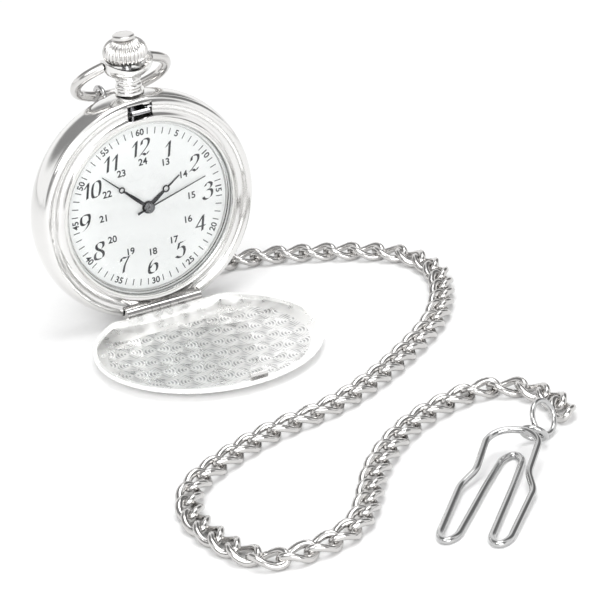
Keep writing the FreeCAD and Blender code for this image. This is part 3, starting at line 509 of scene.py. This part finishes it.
hours = bmesh.new()
for hour in range(1, 13):
    # the figures stand further out towards 3 and 9, where their sides face the minute track
    outwards = HOUR_SPREAD * abs(math.sin(hour * math.tau / 12)) ** 6
    pen_figures(hours, str(hour), dial_place(hour * 5, HOUR_RING + outwards), HOUR_HEIGHT)
print_piece(hours, "hour_figures")


def set_type(target, text, centre, height, turn=0.0):
    """Small printed figures, centred on a place and turned about it."""
    curve = bpy.data.curves.new("type", "FONT")
    curve.body = text
    curve.size = height / 0.72
    curve.align_x = "CENTER"
    curve.offset = height * 0.035
    holder = bpy.data.objects.new("type", curve)
    shape = bpy.data.meshes.new_from_object(holder)
    before = len(target.verts)
    target.from_mesh(shape)
    target.verts.ensure_lookup_table()
    placed = (Matrix.Translation(centre + Vector((0, 0, DIAL_FACE + PRINT_LIFT)))
              @ Matrix.Rotation(turn, 4, "Z") @ Matrix.Translation((0, -height / 2, 0)))
    bmesh.ops.transform(target, matrix=placed, verts=target.verts[before:])
    bpy.data.meshes.remove(shape)
    bpy.data.objects.remove(holder)
    bpy.data.curves.remove(curve)


day_hours = bmesh.new()
for hour in range(13, 25):
    set_type(day_hours, str(hour), dial_place((hour - 12) * 5, DAY_RING), DAY_HEIGHT)
print_piece(day_hours, "afternoon_figures")

track = bmesh.new()
for minute in range(60):
    turn = -math.radians(minute * 6)
    if minute % 5:
        grid = bmesh.ops.create_grid(track, x_segments=1, y_segments=1, size=0.5)["verts"]
        bmesh.ops.scale(track, verts=grid, vec=(TICK_WIDTH, TICK_LENGTH, 1))
        bmesh.ops.rotate(track, verts=grid, matrix=Matrix.Rotation(turn, 3, "Z"))
        bmesh.ops.translate(track, verts=grid, vec=dial_place(minute, TRACK_RING)
                            + Vector((0, 0, DIAL_FACE + PRINT_LIFT)))
    else:
        # the lower figures stand with their heads to the middle, so that they can be read
        flipped = math.pi if 20 <= minute <= 40 else 0.0
        set_type(track, str(minute or 60), dial_place(minute, TRACK_RING), TRACK_HEIGHT,
                 turn + flipped)
print_piece(track, "minute_track")


# The hands: blackened steel, pierced with an open ring, pressed on their pipes one over another.
hand_black = metal("hand_black", (0.055, 0.055, 0.06), 0.22)
hub_steel = metal("hub_steel", (0.25, 0.25, 0.26), 0.25)
# the time they show, in degrees from 12 o'clock
HOUR_SHOWN = 56.1
MINUTE_SHOWN = 313.2
SECONDS_SHOWN = 74.4
RING_WALL = 0.24


def extrude_up(shape, faces, thickness):
    grown = bmesh.ops.extrude_face_region(shape, geom=faces)["geom"]
    raised = [item for item in grown if isinstance(item, bmesh.types.BMVert)]
    bmesh.ops.translate(shape, verts=raised, vec=(0, 0, thickness))


def bar(shape, corners, level, thickness):
    """A flat bar between corners, face up at a level."""
    points = [shape.verts.new((x * MM, y * MM, level * MM)) for x, y in corners]
    extrude_up(shape, [shape.faces.new(points)], thickness * MM)


def pierced_ring(shape, at, outer, inner, level, thickness):
    """A flat ring, turned about the middle and then moved along the hand."""
    corners = [(inner, 0), (outer, 0), (outer, thickness), (inner, thickness)]
    points = [shape.verts.new((x * MM, 0, (level + z) * MM)) for x, z in corners]
    edges = [shape.edges.new(pair) for pair in zip(points, points[1:] + points[:1])]
    bmesh.ops.spin(shape, geom=points + edges, cent=(0, 0, 0), axis=(0, 0, 1),
                   angle=math.tau, steps=32, use_merge=True)
    reached = [vertex for vertex in shape.verts if abs(vertex.co.xy.length - outer * MM) < 1e-6
               or abs(vertex.co.xy.length - inner * MM) < 1e-6]
    bmesh.ops.translate(shape, verts=reached, vec=(0, at * MM, 0))


def pierced_hand(name, node, body, length, ring_at, ring_outer, widths, level, thickness,
                 boss, bore, shows):
    """A hand drawn pointing to 12 o'clock and then turned to the time it shows."""
    base, waist, neck, tip = widths
    hand = bmesh.new()
    pierced_ring(hand, ring_at, ring_outer, ring_outer - RING_WALL, level, thickness)
    pierced_ring(hand, 0.0, boss, bore, level, thickness)
    bar(hand, [(-base, boss * 0.8), (base, boss * 0.8), (base * 1.15, ring_at * 0.45),
               (waist, ring_at - ring_outer * 0.9), (-waist, ring_at - ring_outer * 0.9),
               (-base * 1.15, ring_at * 0.45)], level, thickness)
    bar(hand, [(-neck, ring_at + ring_outer * 0.9), (neck, ring_at + ring_outer * 0.9),
               (tip, length), (-tip, length)], level, thickness)
    hand.transform(upright @ Matrix.Rotation(-math.radians(shows), 4, "Z"))
    finish_piece(hand, name, hand_black, body, smooth=False,
                 replaces=(node,))


pierced_hand("hour_pointer", "hour_hand", "hours", 8.9, 5.1, 0.74, (0.38, 0.25, 0.16, 0.09),
             -1.9, 0.16, 1.3, 0.94, HOUR_SHOWN)
pierced_hand("minute_pointer", "minute_hand", "minutes", 12.6, 7.3, 0.66,
             (0.33, 0.20, 0.14, 0.08), -1.62, 0.14, 1.05, 0.73, MINUTE_SHOWN)
sweep = bmesh.new()
bar(sweep, [(-0.24, -2.7), (0.24, -2.7), (0.15, 0.0), (0.07, 13.2), (-0.07, 13.2),
            (-0.15, 0.0)], -1.3, 0.12)
sweep.transform(upright @ Matrix.Rotation(-math.radians(SECONDS_SHOWN), 4, "Z"))
finish_piece(sweep, "seconds_pointer", hand_black, "seconds", smooth=False,
             replaces=("seconds_hand",))
hub = spun([(0.0, -1.28), (1.12, -1.28), (1.12, -1.1), (0.95, -0.98), (0.5, -0.95), (0.4, -0.85),
            (0.0, -0.82)], steps=48)
hub.transform(upright)
finish_piece(hub, "seconds_hub", hub_steel, "seconds", smooth=False)


# The glass: thick mineral glass with a bevelled edge and a low dome, snapped into the bezel.
def clear_glass(name):
    """Glass seen from a hand's breadth: clear, with its gloss rising towards grazing."""
    material = bpy.data.materials.new(name)
    material.use_nodes = True
    tree = material.node_tree
    tree.nodes.remove(tree.nodes["Principled BSDF"])
    see = tree.nodes.new("ShaderNodeBsdfTransparent")
    see.inputs["Color"].default_value = (0.985, 0.99, 0.99, 1)
    gloss = tree.nodes.new("ShaderNodeBsdfGlossy")
    gloss.inputs["Roughness"].default_value = 0.02
    fresnel = tree.nodes.new("ShaderNodeFresnel")
    fresnel.inputs["IOR"].default_value = 1.35
    mix = tree.nodes.new("ShaderNodeMixShader")
    tree.links.new(fresnel.outputs["Fac"], mix.inputs["Fac"])
    tree.links.new(see.outputs["BSDF"], mix.inputs[1])
    tree.links.new(gloss.outputs["BSDF"], mix.inputs[2])
    tree.links.new(mix.outputs["Shader"], tree.nodes["Material Output"].inputs["Surface"])
    return material


glass = spun([(0.0, -0.3), (4.0, -0.3), (9.0, -0.5), (13.0, -0.82), (17.1, -1.35), (18.0, -1.35),
              (18.0, -0.2), (17.2, 0.32), (17.0, 0.38), (13.0, 0.72), (9.0, 0.96), (4.0, 1.11),
              (0.0, 1.12)], steps=96)
glass.transform(upright)
watch_glass = finish_piece(glass, "watch_glass", clear_glass("mineral_glass"), "case",
                           replaces=("crystal",))
edges = watch_glass.modifiers.new("edges", "EDGE_SPLIT")
edges.split_angle = math.radians(20)


# The crown: an onion turned from bar and cut with thirty round flutes from top to bottom. It is
# screwed on the stem, and a plain cap closes it.
crown_low, crown_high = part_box("crown")
CROWN_PROFILE = [(0.7, 0.0), (3.0, 0.0), (3.7, 0.35), (4.15, 0.9), (4.4, 1.6), (4.45, 2.2),
                 (4.35, 2.8), (4.1, 3.4), (3.65, 3.95), (3.05, 4.4), (2.4, 4.7), (0.7, 4.7)]
FLUTES = 30
FLUTE_DEPTH = 0.55 * MM
crown = spun(CROWN_PROFILE, steps=FLUTES * 8)
for vertex in crown.verts:
    reach = vertex.co.xy.length
    if reach > 2.4 * MM:
        turn = math.atan2(vertex.co.y, vertex.co.x)
        lobe = 1 - abs(math.cos(turn * FLUTES / 2))
        share = min(1.0, (reach - 2.0 * MM) / (1.4 * MM))
        vertex.co.xy *= 1 - FLUTE_DEPTH * lobe * share / reach
crown_middle = (crown_low + crown_high) / 2
crown.transform(Matrix.Translation((0, crown_middle.y, crown_low.z)))
finish_piece(crown, "fluted_crown", crown_silver, "crown",
             replaces=("crown",))


# The works behind the dial: plain brass plates and wheels, a coil, a cell and a small board.
# Nothing of them shows with the case shut, so each only has its own finish.
WORKS = {
    "case_steel": (("stem", "clutch_wheel", "push_sleeve", "stem_collar", "latch_pin",
                    "latch_return_spring", "cover_lift_spring", "bridge_screws", "battery_strap",
                    "setting_lever", "battery_cell", "quartz_can", "latch_lever"),
                   (0.62, 0.62, 0.64), 0.22),
    "works_brass": (("main_plate", "train_bridge", "centre_wheel", "seconds_wheel",
                     "third_wheel", "step_wheel", "motion_wheel", "hour_wheel"),
                    (0.72, 0.55, 0.28), 0.28),
    "motor_iron": (("stator", "coil_core", "rotor"), (0.28, 0.28, 0.30), 0.4),
    "coil_copper": (("coil",), (0.62, 0.27, 0.12), 0.35),
}
for name, (members, colour, roughness) in WORKS.items():
    finish = metal(name, colour, roughness, grain=0.1)
    for node in members:
        smoothed(node, finish)
PLASTICS = {
    "ring_plastic": (("movement_ring",), (0.80, 0.79, 0.76), 0.5),
    "gasket_nylon": (("crystal_gasket",), (0.72, 0.72, 0.70), 0.4),
    "gasket_rubber": (("caseback_gasket", "stem_seal"), (0.03, 0.03, 0.03), 0.7),
    "board_resin": (("circuit_board",), (0.05, 0.18, 0.08), 0.45),
    "chip_resin": (("circuit_chip",), (0.02, 0.02, 0.02), 0.5),
}
for name, (members, colour, roughness) in PLASTICS.items():
    finish = enamel(name, colour, roughness, relief=0.3)
    for node in members:
        smoothed(node, finish)


# The stage: a pale table and the soft light of a white tent, with a few dark bands for the
# polished metal to mirror.
floor_mesh = bmesh.new()
bmesh.ops.create_grid(floor_mesh, x_segments=1, y_segments=1, size=3.0)
floor_data = bpy.data.meshes.new("table_top")
floor_mesh.to_mesh(floor_data)
floor_mesh.free()
floor = bpy.data.objects.new("table_top", floor_data)
bpy.context.scene.collection.objects.link(floor)
floor_data.materials.append(enamel("table_white", (0.93, 0.93, 0.93), 0.6))

world = bpy.data.worlds.new("tent")
world.use_nodes = True
bpy.context.scene.world = world
sky = world.node_tree
background = sky.nodes["Background"]
background.inputs["Strength"].default_value = 1.15
toward = sky.nodes.new("ShaderNodeTexCoord")
# each dark card: the way to it from the watch, the cosines of its middle and edge, its depth
CARDS = [((-0.35, 0.55, 0.75), 0.93, 0.80, 0.72), ((0.80, 0.25, 0.55), 0.95, 0.84, 0.80),
         ((-0.85, -0.30, 0.40), 0.96, 0.86, 0.70), ((0.35, -0.75, 0.55), 0.95, 0.86, 0.75)]
light_left = None
for way, middle, edge, depth in CARDS:
    facing = sky.nodes.new("ShaderNodeVectorMath")
    facing.operation = "DOT_PRODUCT"
    facing.inputs[1].default_value = Vector(way).normalized()
    sky.links.new(toward.outputs["Generated"], facing.inputs[0])
    shade = sky.nodes.new("ShaderNodeMapRange")
    shade.interpolation_type = "SMOOTHSTEP"
    shade.inputs["From Min"].default_value = edge
    shade.inputs["From Max"].default_value = middle
    shade.inputs["To Min"].default_value = 1.0
    shade.inputs["To Max"].default_value = 1.0 - depth
    sky.links.new(facing.outputs["Value"], shade.inputs["Value"])
    if light_left is None:
        light_left = shade.outputs["Result"]
        continue
    both = sky.nodes.new("ShaderNodeMath")
    both.operation = "MULTIPLY"
    sky.links.new(light_left, both.inputs[0])
    sky.links.new(shade.outputs["Result"], both.inputs[1])
    light_left = both.outputs[0]
sky.links.new(light_left, background.inputs["Color"])


def soft_box(name, place, size, power, aim=(0.0, -0.02, 0.02)):
    """A large square light, turned to the watch."""
    data = bpy.data.lights.new(name, "AREA")
    data.shape = "RECTANGLE"
    data.size, data.size_y = size
    data.energy = power
    lamp = bpy.data.objects.new(name, data)
    lamp.location = place
    aimed = Vector(aim) - Vector(place)
    lamp.rotation_euler = aimed.to_track_quat("-Z", "Y").to_euler()
    bpy.context.scene.collection.objects.link(lamp)


soft_box("tent_left", (-0.55, -0.35, 0.55), (0.4, 0.4), 1.6)
soft_box("tent_front", (-0.1, -0.8, 0.25), (0.6, 0.4), 3.4)
soft_box("tent_top", (0.1, -0.05, 0.8), (0.5, 0.5), 2.2)
bpy.context.scene.view_settings.view_transform = "Standard"
